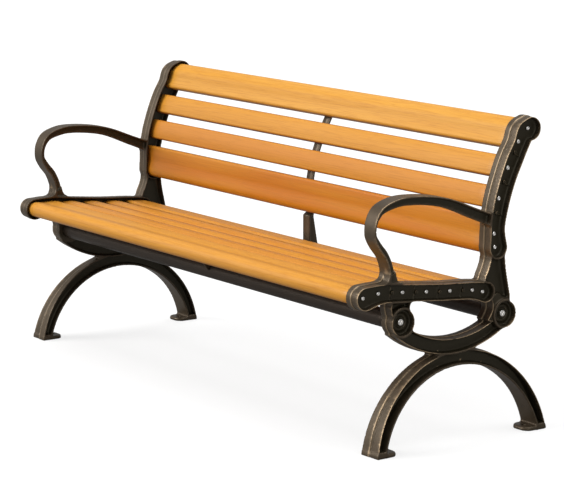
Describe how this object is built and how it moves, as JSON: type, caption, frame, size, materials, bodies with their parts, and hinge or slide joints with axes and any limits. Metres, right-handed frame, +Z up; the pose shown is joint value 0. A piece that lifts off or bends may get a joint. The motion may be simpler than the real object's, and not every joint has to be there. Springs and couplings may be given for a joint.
{
  "type": "garden bench",
  "caption": "Slatted garden bench with cast scroll end frames, looped armrests, arched legs, round stretchers and a centre support.",
  "frame": {"origin": "under the middle of the bench's box, on the ground", "axes": "+X along the length towards the sitter's left hand, front faces -Y, +Z up"},
  "size_m": [1.59, 0.5548, 0.753],
  "materials": {
    "cast_frame": "antique bronze paint with rubbed edges",
    "slat_wood": "satin honey stain with fine straight grain",
    "stretcher_steel": "dark brown satin paint",
    "fastener_steel": "plain stainless"
  },
  "bodies": {
    "root": {"end_frame_right": "cast_frame", "end_frame_left": "cast_frame", "seat_slat_front": "slat_wood", "seat_slat_2": "slat_wood", "seat_slat_3": "slat_wood", "seat_slat_4": "slat_wood", "seat_slat_rear": "slat_wood", "back_slat_bottom": "slat_wood", "back_slat_2": "slat_wood", "back_slat_3": "slat_wood", "back_slat_top": "slat_wood", "front_stretcher": "stretcher_steel", "front_stretcher_plug_right": "stretcher_steel", "front_stretcher_bolt_right": "fastener_steel", "front_stretcher_plug_left": "stretcher_steel", "front_stretcher_bolt_left": "fastener_steel", "rear_stretcher": "stretcher_steel", "rear_stretcher_plug_right": "stretcher_steel", "rear_stretcher_bolt_right": "fastener_steel", "rear_stretcher_plug_left": "stretcher_steel", "rear_stretcher_bolt_left": "fastener_steel", "slat_screw_right_1": "fastener_steel", "slat_screw_right_2": "fastener_steel", "slat_screw_right_3": "fastener_steel", "slat_screw_right_4": "fastener_steel", "slat_screw_right_5": "fastener_steel", "slat_screw_right_6": "fastener_steel", "slat_screw_right_7": "fastener_steel", "slat_screw_right_8": "fastener_steel", "slat_screw_right_9": "fastener_steel", "slat_screw_right_10": "fastener_steel", "slat_screw_right_11": "fastener_steel", "slat_screw_right_12": "fastener_steel", "slat_screw_right_13": "fastener_steel", "slat_screw_left_1": "fastener_steel", "slat_screw_left_2": "fastener_steel", "slat_screw_left_3": "fastener_steel", "slat_screw_left_4": "fastener_steel", "slat_screw_left_5": "fastener_steel", "slat_screw_left_6": "fastener_steel", "slat_screw_left_7": "fastener_steel", "slat_screw_left_8": "fastener_steel", "slat_screw_left_9": "fastener_steel", "slat_screw_left_10": "fastener_steel", "slat_screw_left_11": "fastener_steel", "slat_screw_left_12": "fastener_steel", "slat_screw_left_13": "fastener_steel", "centre_support": "stretcher_steel", "support_screw_seat_slat_front": "fastener_steel", "support_screw_seat_slat_2": "fastener_steel", "support_screw_seat_slat_3": "fastener_steel", "support_screw_seat_slat_4": "fastener_steel", "support_screw_seat_slat_rear": "fastener_steel", "support_screw_back_slat_bottom": "fastener_steel", "support_screw_back_slat_2": "fastener_steel", "support_screw_back_slat_3": "fastener_steel", "support_screw_back_slat_top": "fastener_steel"}
  },
  "joints": []
}
